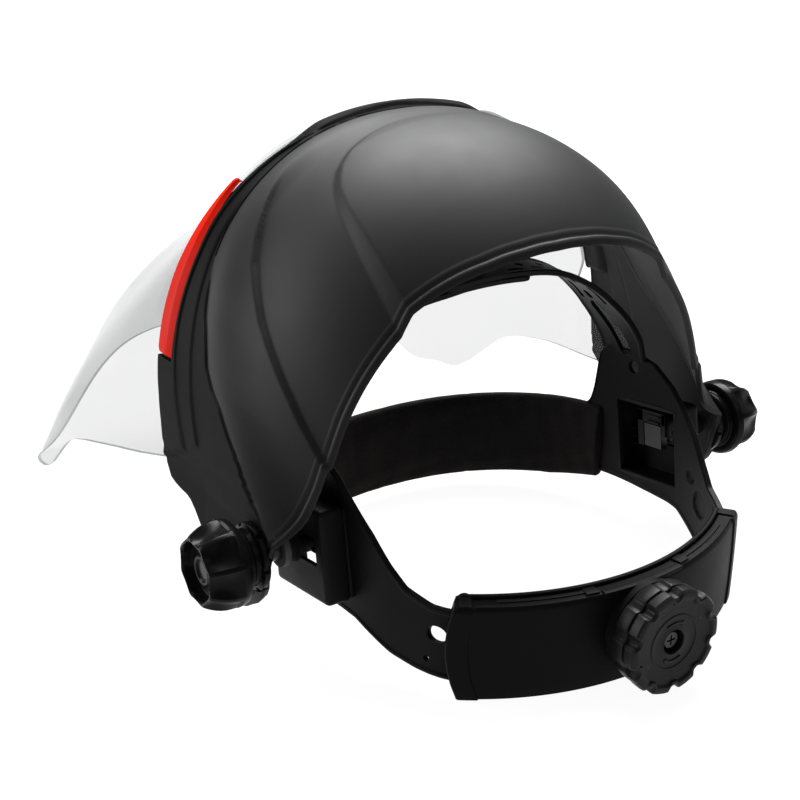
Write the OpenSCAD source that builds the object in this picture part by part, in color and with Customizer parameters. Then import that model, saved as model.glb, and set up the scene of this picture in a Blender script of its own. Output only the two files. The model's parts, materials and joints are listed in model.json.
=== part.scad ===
// Ratchet-suspension face shield: a domed crown carrying a clear visor,
// hinged at the temples on an adjustable plastic head harness.
// Millimetres. X runs from the wearer's right to left, -Y is where the
// wearer looks, +Z is up. The visor is raised, as when it stands on a bench.

/* [Crown] */
// Half width of the crown at its front flange
crown_half_w = 127.6; // [126:0.2:129]
// Wall of the crown, as a share of its radius
crown_wall = 0.022; // [0.018:0.002:0.026]
// Radius of the round ear around each pivot
ear_r = 27; // [24:1:29]

/* [Visor] */
// Thickness of the clear visor
visor_t = 2; // [1.5:0.1:2.5]
// Width of the red retaining clips along the flange
clip_w = 10; // [8:0.5:11]

/* [Side knobs] */
// Radius of a side knob over its lobes
side_knob_r = 19.6; // [17:0.2:20]
// Number of finger scallops on a side knob
side_knob_lobes = 8; // [6:1:10]
// Radius of the threaded pivot stud
stud_r = 4; // [3.5:0.1:4]

/* [Head harness] */
// Half width of the head band at the temples
band_half_w = 96; // [94:0.5:96]
// Thickness of the band's plastic
band_t = 2.2; // [1.8:0.1:2.4]
// Thickness of the sweatband padding in front
pad_t = 8; // [6:0.5:8]

/* [Ratchet] */
// Radius of the ratchet knob
ratchet_r = 24.2; // [22:0.2:24.4]
// Number of lobes on the ratchet knob
ratchet_lobes = 10; // [8:1:12]
// Teeth on the pinion
pinion_teeth = 8; // [8:1:8]
// Module of the pinion and racks
gear_m = 1.6; // [1.6:0.1:1.6]

/* [Hidden] */
$fn = 64;
y_off = 71.48;         // pivot axis to the middle of the whole object
z_off = 48.2;          // pivot axis above the bench
black = "#222224";
matt = "#1b1b1c";

function sg(v) = v < 0 ? -1 : 1;
function sp(v, e) = sg(v) * pow(abs(v), e);
function lerp(a, b, u) = a + (b - a) * u;
function cr1(a, b, c, d, u) = 0.5 * (2*b + (c - a)*u + (2*a - 5*b + 4*c - d)*u*u + (3*b - a - 3*c + d)*u*u*u);
// smooth curve through the points p, u from 0 to 1
function along(p, u) = let(n = len(p) - 1, s = min(u * n, n - 0.0001), i = floor(s), f = s - i)
  cr1(p[max(i-1,0)], p[i], p[i+1], p[min(i+2,n)], f);

// ---- closed sheet between two point grids of the same size ----
module sheet(A, B) {
  n = len(A); m = len(A[0]); o = n * m;
  pts = concat([for (r = A) for (p = r) p], [for (r = B) for (p = r) p]);
  f = concat(
    [for (i = [0:n-2]) for (j = [0:m-2]) each [[i*m+j, i*m+j+1, (i+1)*m+j], [i*m+j+1, (i+1)*m+j+1, (i+1)*m+j]]],
    [for (i = [0:n-2]) for (j = [0:m-2]) each [[o+i*m+j, o+(i+1)*m+j, o+i*m+j+1], [o+i*m+j+1, o+(i+1)*m+j, o+(i+1)*m+j+1]]],
    [for (i = [0:n-2]) each [[i*m, (i+1)*m, o+i*m], [(i+1)*m, o+(i+1)*m, o+i*m]]],
    [for (i = [0:n-2]) each [[i*m+m-1, o+i*m+m-1, (i+1)*m+m-1], [(i+1)*m+m-1, o+i*m+m-1, o+(i+1)*m+m-1]]],
    [for (j = [0:m-2]) each [[j, o+j, j+1], [j+1, o+j, o+j+1]]],
    [for (j = [0:m-2]) each [[(n-1)*m+j, (n-1)*m+j+1, o+(n-1)*m+j], [(n-1)*m+j+1, o+(n-1)*m+j+1, o+(n-1)*m+j]]]);
  polyhedron(pts, f, convexity = 6);
}

module place() translate([0, y_off, z_off]) children();
module left() children();
module right() mirror([1, 0, 0]) children();
// a profile drawn in Y and Z, made solid from x0 to x1
module slab(x0, x1) translate([x0, 0, 0]) rotate([90, 0, 90]) linear_extrude(x1 - x0) children();
module xrod(r, x0, x1, fn = 64) translate([x0, 0, 0]) rotate([0, 90, 0]) cylinder(r = r, h = x1 - x0, $fn = fn);
module yrod(r, y0, y1, fn = 64) translate([0, y0, 0]) rotate([-90, 0, 0]) cylinder(r = r, h = y1 - y0, $fn = fn);

// ---- crown ----
// The dome is a rounded ellipsoid, centred behind and below its flange.
dome_c = [0, -50, -5.3];
function dome_g(q) = pow(pow(abs(q[0]) / 131.8, 2.09) + pow(sqrt(pow(q[1] / 133.2, 2) + pow(q[2] / 170.2, 2)), 2.09), 1 / 2.09);
function onto_dome(p) = let(q = p - dome_c) dome_c + q / dome_g(q);
// Front edge, a near-vertical arch; a from 0 (left ear) to 180 (right ear)
function arch(a, w, top) = [w * sp(cos(a), 2/2.09), -92, 44 - 34 * pow(abs(cos(a)), 8) + (top - 44) * pow(abs(sin(a)), 2/2.09)];
// Rear edge, left half from the ear to the crown
rim = [[129, 15, 2], [122, 19, 20], [114, 22, 38], [100, 25, 65], [89, 27, 82], [78, 29, 95], [66, 31, 106], [48, 34, 116], [26, 37, 122], [0, 38.5, 124.5]];
function rim_at(u) = u <= 0.5 ? along(rim, u * 2) : let(p = along(rim, (1 - u) * 2)) [-p[0], p[1], p[2]];
// share of the dome's roundness: flat near the ears, full at the crown
function crown_pt(i, j, ni, nj) = let(u = i / ni, v = j / nj,
    a = arch(180 * u, crown_half_w, 164), b = rim_at(u), l = lerp(a, b, v), d = onto_dome(l),
    k = (1 - pow(1 - v, 3)) * min(1, 1.25 * pow(max(0, sin(180 * u)), 0.7))) lerp(l, d, k);
module crown_shell() color(black) place() {
  ni = 40; nj = 10;
  O = [for (i = [0:ni]) [for (j = [nj:-1:0]) crown_pt(i, j, ni, nj)]];
  I = [for (r = O) [for (p = r) dome_c + (p - dome_c) * (1 - crown_wall)]];
  difference() {
    union() {
      sheet(O, I);
      for (m = [0, 1]) mirror([m, 0, 0]) {
        slab(126, 130) difference() {
          union() { circle(r = ear_r); polygon([[-88, 10], [-64, 5], [-52, -7], [-26, -20], [-12, -24.2], [19, 19], [12, 34], [-40, 46], [-88, 46]]); }
        }
        xrod(14, 120.4, 127);
      }
    }
    for (m = [0, 1]) mirror([m, 0, 0]) xrod(5.06, 119, 132);
  }
  // raised welt along the flange, left open where the red clips sit
  for (s = [[4, 18.8], [51.8, 128.2], [161.2, 176]]) welt(s[0], s[1], 0.6, 3.4, -91.8, -84, 24);
}
// a strip lying on the flange from angle a0 to a1
module welt(a0, a1, r0, r1, y0, y1, n) {
  function w(a, r, y) = let(p = arch(a, crown_half_w + r, 164 + r)) [p[0], y, p[2]];
  sheet([for (i = [0:n]) let(a = lerp(a0, a1, i/n)) [w(a, r1, y1), w(a, r1, y0)]],
        [for (i = [0:n]) let(a = lerp(a0, a1, i/n)) [w(a, r0 - 1, y1), w(a, r0 - 1, y0)]]);
}
module clip(a0, a1) sheet(
  [for (i = [0:20]) let(a = lerp(a0, a1, i/20), p = arch(a, crown_half_w + 3.4, 167.4)) [[p[0], -92 + clip_w/2, p[2]], [p[0], -92 - clip_w/2, p[2]]]],
  [for (i = [0:20]) let(a = lerp(a0, a1, i/20), p = arch(a, crown_half_w + 1.1, 165.1), q = arch(a, crown_half_w + 0.3, 164.3)) [[q[0], -92 + clip_w/2, q[2]], [p[0], -92 - clip_w/2, p[2]]]]);
module visor_clip_left() color("#e63a22") place() clip(19.5, 51);
module visor_clip_right() color("#e63a22") place() right() clip(19.5, 51);

// ---- visor ----
// side edge of the visor, from the flange down to the tip
side_edge = [[128.2, -92.6, 12], [134, -112, 8], [138.5, -133, 4], [141.2, -152, -0.5], [142.8, -170, -5.5], [143, -187, -13], [142.2, -209, -30], [140.9, -231.4, -48.2]];
function visor_low(a) = [140.9 * sp(cos(a), 2/5.5), -231.4 - 32.6 * pow(abs(sin(a)), 2/5.5), -48.2 + 60 * pow(abs(sin(a)), 7)];
function visor_pt(a, v) = let(
    f = arch(a, 127.8, 164), f2 = [f[0], -92.6, f[2]], b = visor_low(a),
    e = along(side_edge, v) - lerp(side_edge[0], side_edge[7], v), w = pow(abs(cos(a)), 4.3),
    g = 27/4 * v * v * (1 - v) * pow(abs(sin(a)), 2.2))
  lerp(f2, b, v) + w * [sg(cos(a)) * e[0], e[1], e[2]] + g * [0, -40.4, 4.1];
visor_c = [0, -120, 20];
function shrink(p, t) = p + (visor_c - p) * (t / norm(visor_c - p));
module visor_lens() color([0.8, 0.85, 0.88, 0.3]) place() {
  O = [for (i = [0:44]) [for (j = [0:14]) visor_pt(180 * i/44, pow(j/14, 0.9))]];
  sheet(O, [for (r = O) [for (p = r) shrink(p, visor_t)]]);
}
// snap pegs through the visor's top edge, under the clips and the welt
module visor_pegs() color(matt) place()
  for (a = [24, 46, 90, 134, 156]) let(p = arch(a, crown_half_w, 164))
    translate([p[0], -94.9, p[2]]) rotate([0, 90 - atan2(p[2] - 30, p[0]), 0]) translate([0, 0, -3.6]) { cylinder(r = 1.9, h = 3.9, $fn = 24); cylinder(r = 2.9, h = 1.2, $fn = 24); }

// ---- pivot, left side; the right one is its mirror ----
module pitch() rotate([8, 0, 0]) children();
module carriage() pitch() difference() {
  union() {
    slab(98.6, 105.9) square([22, 26], center = true);
    slab(105.9, 110.4) square([14, 12.4], center = true);
    xrod(13, 110.3, 116.4);
    for (k = [-2:2]) slab(97.6, 98.8) translate([4, k * 4.2]) square([9, 1.6], center = true);
  }
  slab(98, 103.2) square([12.1, 12.1], center = true);
  xrod(stud_r + 0.02, 97, 118);
}
module carriage_left() color(matt) place() carriage();
module carriage_right() color(matt) place() right() carriage();
module bolt() pitch() {
  slab(99, 103) square([12, 12], center = true);
  xrod(stud_r, 102.9, 155);
  xrod(5, 116.6, 130.2);
}
module pivot_bolt_left() color("#8d8f92") place() bolt();
module pivot_bolt_right() color("#8d8f92") place() right() bolt();
module washer(r, b, x0, x1) difference() { xrod(r, x0, x1); xrod(b, x0 - 1, x1 + 1); }
module friction_washer_left() color("#3a3a3c") place() washer(13, 5.05, 116.8, 119.9);
module friction_washer_right() color("#3a3a3c") place() right() washer(13, 5.05, 116.8, 119.9);
module collar() difference() {
  union() { xrod(15.4, 130.5, 133.2); xrod(13, 133.1, 136.6); }
  xrod(stud_r + 0.05, 129, 138);
}
module collar_left() color(matt) place() collar();
module collar_right() color(matt) place() right() collar();
module side_knob() difference() {
  union() {
    xrod(14.6, 137, 140);
    slab(139.9, 159) difference() {
      circle(r = side_knob_r);
      for (k = [0:side_knob_lobes-1]) rotate(360 * k / side_knob_lobes + 22.5) translate([side_knob_r + 4.2, 0]) circle(r = 7.2);
    }
  }
  xrod(13.4, 153, 161);
  xrod(stud_r + 0.06, 136, 160);
  slab(141, 150.1) circle(r = 7.7, $fn = 6);
}
module side_knob_left() color(black) place() side_knob();
module side_knob_right() color(black) place() right() side_knob();
module knob_nut() difference() { slab(141, 150) circle(r = 7.5, $fn = 6); xrod(stud_r + 0.03, 140, 151); }
module knob_nut_left() color("#c9a65a") place() knob_nut();
module knob_nut_right() color("#c9a65a") place() right() knob_nut();

// ---- head band ----
// front arc of the band, seen from above; d is the offset outwards
function front(a, d) = [(band_half_w + d) * sp(cos(a), 2/2.2), -5 - (97 + d) * pow(abs(sin(a)), 2/2.2)];
arm_path = [[96, -5, 0], [96, 10, 0], [95.2, 24, 0], [92.4, 38, 0], [88.2, 51, 0], [81.8, 66.5, 0], [74.6, 75.5, 0], [66.8, 81, 0]];
module front_ring(d0, d1, a0, a1, n = 60)
  polygon(concat([for (i = [0:n]) front(lerp(a0, a1, i/n), d1)], [for (i = [n:-1:0]) front(lerp(a0, a1, i/n), d0)]));
module temple_box() pitch() difference() {
  slab(96.2, 109.6) translate([-23, -24]) square([46, 43.5]);
  slab(95, 107.4) translate([-20.6, -21.5]) square([41.2, 38.5]);
  slab(95, 111) square([33, 13.2], center = true);
}
module head_band() color(matt) place() difference() {
  union() {
    intersection() {
      translate([0, 0, -60]) linear_extrude(130) union() {
        front_ring(-band_t/2, band_t/2, 0, 180);
        for (m = [0, 1]) mirror([m, 0]) polygon([[band_half_w - band_t/2, -5.5], [band_half_w + band_t/2, -5.5], [band_half_w + band_t/2, 12], [95.2 + band_t/2, 23.8], [95.2 - band_t/2, 23.8], [band_half_w - band_t/2, 12]]);
      }
      slab(-110, 110) polygon([[-110, -33], [-60, -32], [-30, -30], [18, -28.6], [23.8, -28.9], [23.8, 25], [14, 33], [1, 44], [-11, 54], [-28, 50], [-35, 40], [-37, 14], [-43, 6], [-60, -3], [-110, -8]]);
    }
    temple_box();
    mirror([1, 0, 0]) temple_box();
  }
  for (m = [0, 1]) mirror([m, 0, 0]) {
    pitch() slab(90, 107.4) translate([-20.6, -21.5]) square([41.2, 38.5]);
    translate([0, -13, 38]) xrod(4, 80, 120, 32);
  }
}
module arm_plan() let(n = 30) polygon(concat(
  [for (i = [0:n]) let(u = lerp(0.29, 1, i/n), p = along(arm_path, u), q = along(arm_path, min(1, u + 0.01)), r = along(arm_path, u - 0.01), t = (q - r) / norm(q - r)) [p[0] + t[1] * band_t/2, p[1] - t[0] * band_t/2]],
  [for (i = [n:-1:0]) let(u = lerp(0.29, 1, i/n), p = along(arm_path, u), q = along(arm_path, min(1, u + 0.01)), r = along(arm_path, u - 0.01), t = (q - r) / norm(q - r)) [p[0] - t[1] * band_t/2, p[1] + t[0] * band_t/2]]));
module band_arm() difference() {
  intersection() {
    translate([0, 0, -60]) linear_extrude(130) arm_plan();
    slab(40, 110) polygon([[24.1, 25], [35, 17], [44.5, 4], [53, -4], [65, -8], [86, -9], [86, -43], [71, -41.5], [58, -40.5], [46, -38.6], [31, -32], [24.1, -29]]);
  }
  translate([0, 68, -21]) xrod(4, 60, 100, 32);
}
module band_arm_left() color(matt) place() band_arm();
module band_arm_right() color(matt) place() right() band_arm();
// crown strap: two tongues of the band that meet over the head
function strap(a, d) = [(96 + d) * sp(cos(a), 2/2.3), 20 + (79 + d) * pow(abs(sin(a)), 2/2.3)];
module tongue(a0, a1, d0, d1, holes) difference() {
  translate([0, -8, 0]) rotate([90, 0, 0]) linear_extrude(24) polygon(concat(
    [for (i = [0:26]) strap(lerp(a0, a1, i/26), d1)], [for (i = [26:-1:0]) strap(lerp(a0, a1, i/26), d0)]));
  for (x = holes) translate([x, -20, 80]) cylinder(r = 2.3, h = 40, $fn = 24);
}
module crown_strap_left() color(matt) place() tongue(16, 104, -3.6, -1.4, [-8, 0, 8, 16, 24]);
module crown_strap_right() color(matt) place() mirror([1, 0, 0]) tongue(16, 104, -1.2, 1, [-8, 0, 8]);
module crown_strap_pegs() color(matt) place() for (x = [0, 8]) translate([x, -20, 0]) { translate([0, 0, 92.6]) cylinder(r = 2.2, h = 8.4, $fn = 24); translate([0, 0, 100.4]) cylinder(r = 3.2, h = 1.4, $fn = 24); }
module sweatband() color("#161616") place() difference() {
  intersection() {
  translate([0, 0, -60]) linear_extrude(80) front_ring(-pad_t/2 - 0.6, pad_t/2 - 0.6, 17, 163);
  slab(-110, 110) polygon([[-110, -43.5], [-60, -39], [-22, -31], [-50, 5.5], [-60, 5.5], [-110, 2]]);
  }
  intersection() {
    translate([0, 0, -60]) linear_extrude(80) front_ring(-band_t/2 - 0.15, band_t/2 + 0.15, 16, 164);
    slab(-111, 111) polygon([[-112, -33.2], [-60, -32.2], [-30, -30.2], [-10, -29.6], [-20, 20], [-36.8, 14.4], [-43.1, 6.4], [-60, -2.7], [-112, -7.8]]);
  }
}

// ---- rear unit: curved covers about a vertical axis behind the crown ----
arc_c = [0, -25];
module sector(r0, r1, z0, z1, a) translate([arc_c[0], arc_c[1], 0]) rotate([0, 0, 90 - a]) rotate_extrude(angle = 2 * a, $fn = 128) translate([r0, z0]) square([r1 - r0, z1 - z0]);
rz = -23.6;            // height of the ratchet axis
module rear_cover_outer() color(black) place() difference() {
  union() {
    sector(128.3, 130.5, -48.2, -4, 37.2);
    sector(123.2, 128.4, -48.2, -45.9, 37.2);
    sector(123.2, 128.4, -6.4, -4, 37.2);
    translate([0, 0, rz]) yrod(21, 102.8, 109.6);
  }
  translate([0, 0, rz]) { yrod(17.6, 105.9, 111); yrod(5.06, 100, 111); }
  translate([0, 0, rz]) yrod(12, 101, 103.3);
  for (x = [-60, 60]) translate([x, 0, rz]) yrod(1.55, 70, 89.8, 24);
}
module rear_cover_inner() color(matt) place() difference() {
  union() {
    sector(120.6, 122.9, -48.2, -2.6, 37.2);
    for (x = [-60, 60]) translate([x, 0, rz]) yrod(3.4, 82, 86.2, 32);
  }
  for (x = [-60, 60]) translate([x, 0, rz]) yrod(1.55, 79, 90, 24);
  translate([0, 0, rz]) yrod(4.06, 94, 99);
}
module cover_screws() color("#8d8f92") place() for (x = [-60, 60]) translate([x, 0, rz]) { yrod(1.5, 80.4, 89.6, 24); yrod(2.9, 79.2, 81.2, 32); }
pr = gear_m * pinion_teeth / 2;
pp = gear_m * 180 / 180 * PI;
// flat rack profile in X and Z: teeth point down past the pitch line at z = 0
module rack_profile(x0, x1) polygon(concat([[x1, 8.5], [x0, 8.5], [x0, 1.6]],
  [for (k = [ceil((x0 + 2) / pp):floor((x1 - 2) / pp)]) each [[k*pp - 1.15, 1.6], [k*pp - 0.55, -1], [k*pp + 0.55, -1], [k*pp + 1.15, 1.6]]], [[x1, 1.6]]));
module rack() intersection() {
  sector(124.3, 126.5, -60, 20, 34);
  translate([0, 120, rz + pr]) rotate([90, 0, 0]) linear_extrude(60) rack_profile(-17, 58);
}
module rack_left() color(matt) place() rack();
module rack_right() color(matt) place() translate([0, 0, 2 * rz]) mirror([0, 0, 1]) mirror([1, 0, 0]) rack();
module pinion() color("#d8d8d4") place() translate([0, 0, rz]) difference() {
  union() {
    translate([0, 102.6, 0]) rotate([90, 0, 0]) linear_extrude(4.2) rotate(360 / pinion_teeth / 2) union() {
      circle(r = pr - 1.75);
      for (k = [0:pinion_teeth-1]) rotate(360 * k / pinion_teeth) polygon([[pr - 2.2, -1.25], [pr - 0.2, -0.95], [pr + 0.95, -0.4], [pr + 0.95, 0.4], [pr - 0.2, 0.95], [pr - 2.2, 1.25]]);
    }
    yrod(5, 102.5, 112);
    yrod(4, 95, 98.6);
  }
  yrod(1.6, 105, 113, 24);
}
module ratchet_knob() color(black) place() translate([0, 0, rz]) difference() {
  union() {
    yrod(16.8, 107.2, 110.1);
    translate([0, 125.6, 0]) rotate([90, 0, 0]) linear_extrude(15.6) difference() {
      circle(r = ratchet_r);
      for (k = [0:ratchet_lobes-1]) rotate(360 * k / ratchet_lobes + 18) translate([ratchet_r + 7.6, 0]) circle(r = 8.8);
    }
  }
  yrod(5.02, 107, 112.1);
  yrod(1.8, 107, 121, 24);
  yrod(5.6, 119.4, 127);
}
module knob_screw() color("#77797c") place() translate([0, 0, rz]) difference() { union() { yrod(1.55, 106, 119.9, 24); yrod(3.6, 119.8, 122.2, 32); } translate([-2.4, 121, -0.45]) cube([4.8, 2, 0.9]); translate([-0.45, 121, -2.4]) cube([0.9, 2, 4.8]); }
module knob_washer() color("#3a3a3c") place() translate([0, 0, rz]) difference() { yrod(9.5, 106.1, 106.9); yrod(5.1, 105, 108); }
// leaf ring whose pawls click over the housing's teeth
module detent_spring() color("#9a9ca0") place() translate([0, 0, rz]) difference() { yrod(17.2, 106.2, 106.9); yrod(13.5, 105, 108); }

crown_shell();
visor_lens();
visor_clip_left();
visor_clip_right();
visor_pegs();
carriage_left();
carriage_right();
pivot_bolt_left();
pivot_bolt_right();
friction_washer_left();
friction_washer_right();
collar_left();
collar_right();
side_knob_left();
side_knob_right();
knob_nut_left();
knob_nut_right();
head_band();
band_arm_left();
band_arm_right();
crown_strap_left();
crown_strap_right();
crown_strap_pegs();
sweatband();
rear_cover_outer();
rear_cover_inner();
cover_screws();
rack_left();
rack_right();
pinion();
ratchet_knob();
knob_screw();
knob_washer();
detent_spring();
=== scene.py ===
import json
import math

import bmesh
import bpy
import numpy as np
from mathutils import Matrix, Vector


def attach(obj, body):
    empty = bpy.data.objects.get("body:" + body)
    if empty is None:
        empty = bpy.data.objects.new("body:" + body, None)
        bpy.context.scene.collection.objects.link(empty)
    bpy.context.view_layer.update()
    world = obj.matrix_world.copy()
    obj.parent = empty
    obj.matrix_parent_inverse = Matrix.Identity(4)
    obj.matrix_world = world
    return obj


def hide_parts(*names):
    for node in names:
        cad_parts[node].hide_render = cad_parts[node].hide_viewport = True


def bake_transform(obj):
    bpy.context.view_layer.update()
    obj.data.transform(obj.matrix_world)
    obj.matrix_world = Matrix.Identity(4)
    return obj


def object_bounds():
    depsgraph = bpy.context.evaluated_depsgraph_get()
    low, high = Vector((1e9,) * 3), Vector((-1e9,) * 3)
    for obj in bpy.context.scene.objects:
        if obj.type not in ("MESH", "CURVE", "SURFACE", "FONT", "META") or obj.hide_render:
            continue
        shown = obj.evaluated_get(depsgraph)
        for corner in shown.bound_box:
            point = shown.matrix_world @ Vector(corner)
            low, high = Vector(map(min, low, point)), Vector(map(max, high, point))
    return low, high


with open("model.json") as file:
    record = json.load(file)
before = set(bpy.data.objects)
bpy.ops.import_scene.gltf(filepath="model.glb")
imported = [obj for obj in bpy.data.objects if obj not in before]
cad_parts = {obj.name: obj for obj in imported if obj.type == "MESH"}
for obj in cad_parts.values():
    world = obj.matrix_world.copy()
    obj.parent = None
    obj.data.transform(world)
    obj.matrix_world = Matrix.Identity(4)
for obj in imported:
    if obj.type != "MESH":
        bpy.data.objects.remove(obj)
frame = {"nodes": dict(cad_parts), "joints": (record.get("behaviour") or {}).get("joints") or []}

cad_lo, cad_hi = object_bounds()
scene = bpy.context.scene
N = frame["nodes"]
JOINT = {j["name"]: j for j in frame["joints"]}
PIV = np.array(JOINT["visor_tilt"]["pos_m"], float)   # pivot axis; shapes below are in mm from it


# ------------------------------------------------------------------ materials
def material(name, base, rough, grain=0.0, grain_size=0.0004, mottle=0.25, mottle_size=0.03, rough_var=0.06,
             metallic=0.0, spec=0.5, coat=0.0, wear=None, scratch=0.0):
    m = bpy.data.materials.new(name)
    m.use_nodes = True
    nt = m.node_tree
    b = nt.nodes["Principled BSDF"]
    L = nt.links.new
    tc = nt.nodes.new("ShaderNodeTexCoord")
    n1 = nt.nodes.new("ShaderNodeTexNoise")
    n1.inputs["Scale"].default_value = 1.0 / mottle_size
    n1.inputs["Detail"].default_value = 4
    L(tc.outputs["Object"], n1.inputs["Vector"])
    mix = nt.nodes.new("ShaderNodeMix")
    mix.data_type = "RGBA"
    dark = [c * (1 - mottle) for c in base] + [1]
    lite = [min(1, c * (1 + mottle)) for c in base] + [1]
    mix.inputs["A"].default_value = dark
    mix.inputs["B"].default_value = lite
    L(n1.outputs["Fac"], mix.inputs["Factor"])
    col = mix.outputs["Result"]
    if wear is not None:
        g = nt.nodes.new("ShaderNodeNewGeometry")
        r = nt.nodes.new("ShaderNodeMapRange")
        r.inputs["From Min"].default_value = 0.53
        r.inputs["From Max"].default_value = 0.62
        L(g.outputs["Pointiness"], r.inputs["Value"])
        m2 = nt.nodes.new("ShaderNodeMix")
        m2.data_type = "RGBA"
        m2.inputs["B"].default_value = list(wear) + [1]
        L(col, m2.inputs["A"])
        L(r.outputs["Result"], m2.inputs["Factor"])
        col = m2.outputs["Result"]
    L(col, b.inputs["Base Color"])
    n2 = nt.nodes.new("ShaderNodeTexNoise")
    n2.inputs["Scale"].default_value = 2.5 / mottle_size
    n2.inputs["Detail"].default_value = 3
    L(tc.outputs["Object"], n2.inputs["Vector"])
    mr = nt.nodes.new("ShaderNodeMapRange")
    mr.inputs["To Min"].default_value = rough - rough_var
    mr.inputs["To Max"].default_value = rough + rough_var
    L(n2.outputs["Fac"], mr.inputs["Value"])
    L(mr.outputs["Result"], b.inputs["Roughness"])
    if grain > 0:
        n3 = nt.nodes.new("ShaderNodeTexNoise")
        n3.inputs["Scale"].default_value = 1.0 / grain_size
        n3.inputs["Detail"].default_value = 2
        L(tc.outputs["Object"], n3.inputs["Vector"])
        bp = nt.nodes.new("ShaderNodeBump")
        bp.inputs["Strength"].default_value = grain
        bp.inputs["Distance"].default_value = grain_size * 0.25
        L(n3.outputs["Fac"], bp.inputs["Height"])
        L(bp.outputs["Normal"], b.inputs["Normal"])
    b.inputs["Metallic"].default_value = metallic
    b.inputs["Specular IOR Level"].default_value = spec
    b.inputs["Coat Weight"].default_value = coat
    b.inputs["Coat Roughness"].default_value = 0.12
    return m


M_CROWN = material("crown_black", (0.0078, 0.0078, 0.0081), 0.56, grain=0.22, grain_size=0.0005, mottle=0.12,
                   rough_var=0.03, wear=(0.02, 0.02, 0.021), spec=0.14)
# darker copy of the crown plastic for the flange and ear faces: its duller finish is partly real, its darker base
# colour is painted shade
M_FLANGE_DULL_SHADED = material("crown_flange_dull_painted_shade", (0.0036, 0.0036, 0.0038), 0.55, grain=0.3, grain_size=0.0005, mottle=0.12,
                    rough_var=0.04, wear=(0.012, 0.012, 0.0125), spec=0.03)
M_HARN = material("harness_black", (0.0035, 0.0035, 0.0037), 0.44, grain=0.35, grain_size=0.0006, mottle=0.15,
                  rough_var=0.05, wear=(0.012, 0.012, 0.0125), spec=0.06)
M_REAR = material("rear_cover_black", (0.003, 0.003, 0.0032), 0.5, grain=0.45, grain_size=0.0005, mottle=0.15,
                  rough_var=0.05, wear=(0.009, 0.009, 0.0095), spec=0.05)
M_KNOB = material("knob_gloss", (0.0035, 0.0035, 0.0037), 0.27, grain=0.06, grain_size=0.0008, mottle=0.15,
                  rough_var=0.05, wear=(0.01, 0.01, 0.0105), spec=0.06)
M_RATCH = material("knob_satin", (0.0065, 0.0065, 0.0068), 0.4, grain=0.35, grain_size=0.0004, mottle=0.15,
                   rough_var=0.05, wear=(0.022, 0.022, 0.023), spec=0.1)
M_RED = material("clip_red", (0.45, 0.0095, 0.0032), 0.36, grain=0.05, grain_size=0.0008, mottle=0.05,
                 rough_var=0.04, spec=0.025)
M_OXIDE = material("black_oxide", (0.02, 0.02, 0.021), 0.35, grain=0.1, grain_size=0.0005, mottle=0.2, metallic=0.6)
M_STEEL = material("zinc_steel", (0.52, 0.53, 0.54), 0.3, grain=0.1, grain_size=0.0005, mottle=0.15,
                   rough_var=0.08, metallic=1.0)
M_BRASS = material("brass", (0.72, 0.52, 0.24), 0.28, grain=0.1, grain_size=0.0004, mottle=0.15, rough_var=0.08,
                   metallic=1.0)
M_RUBBER = material("washer_dark", (0.03, 0.03, 0.03), 0.7, grain=0.3, grain_size=0.0005, mottle=0.2)
M_GEAR = material("gear_white", (0.72, 0.72, 0.68), 0.4, grain=0.1, grain_size=0.0005, mottle=0.05)


def cloth_material():
    m = material("sweatband_cloth", (0.0055, 0.005, 0.005), 0.9, mottle=0.35, mottle_size=0.006, rough_var=0.05)
    nt = m.node_tree
    b = nt.nodes["Principled BSDF"]
    tc = nt.nodes.new("ShaderNodeTexCoord")
    L = nt.links.new
    fine = nt.nodes.new("ShaderNodeTexNoise")
    fine.inputs["Scale"].default_value = 1 / 0.00045
    fine.inputs["Detail"].default_value = 3
    rib = nt.nodes.new("ShaderNodeTexVoronoi")
    rib.inputs["Scale"].default_value = 1 / 0.0009
    L(tc.outputs["Object"], fine.inputs["Vector"])
    L(tc.outputs["Object"], rib.inputs["Vector"])
    add = nt.nodes.new("ShaderNodeMath")
    L(fine.outputs["Fac"], add.inputs[0])
    L(rib.outputs["Distance"], add.inputs[1])
    bp = nt.nodes.new("ShaderNodeBump")
    bp.inputs["Strength"].default_value = 0.9
    bp.inputs["Distance"].default_value = 0.0003
    L(add.outputs[0], bp.inputs["Height"])
    L(bp.outputs["Normal"], b.inputs["Normal"])
    b.inputs["Specular IOR Level"].default_value = 0.08
    b.inputs["Sheen Weight"].default_value = 0.12
    b.inputs["Sheen Roughness"].default_value = 0.45
    b.inputs["Sheen Tint"].default_value = (0.32, 0.22, 0.18, 1)
    return m


M_CLOTH = cloth_material()


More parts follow.
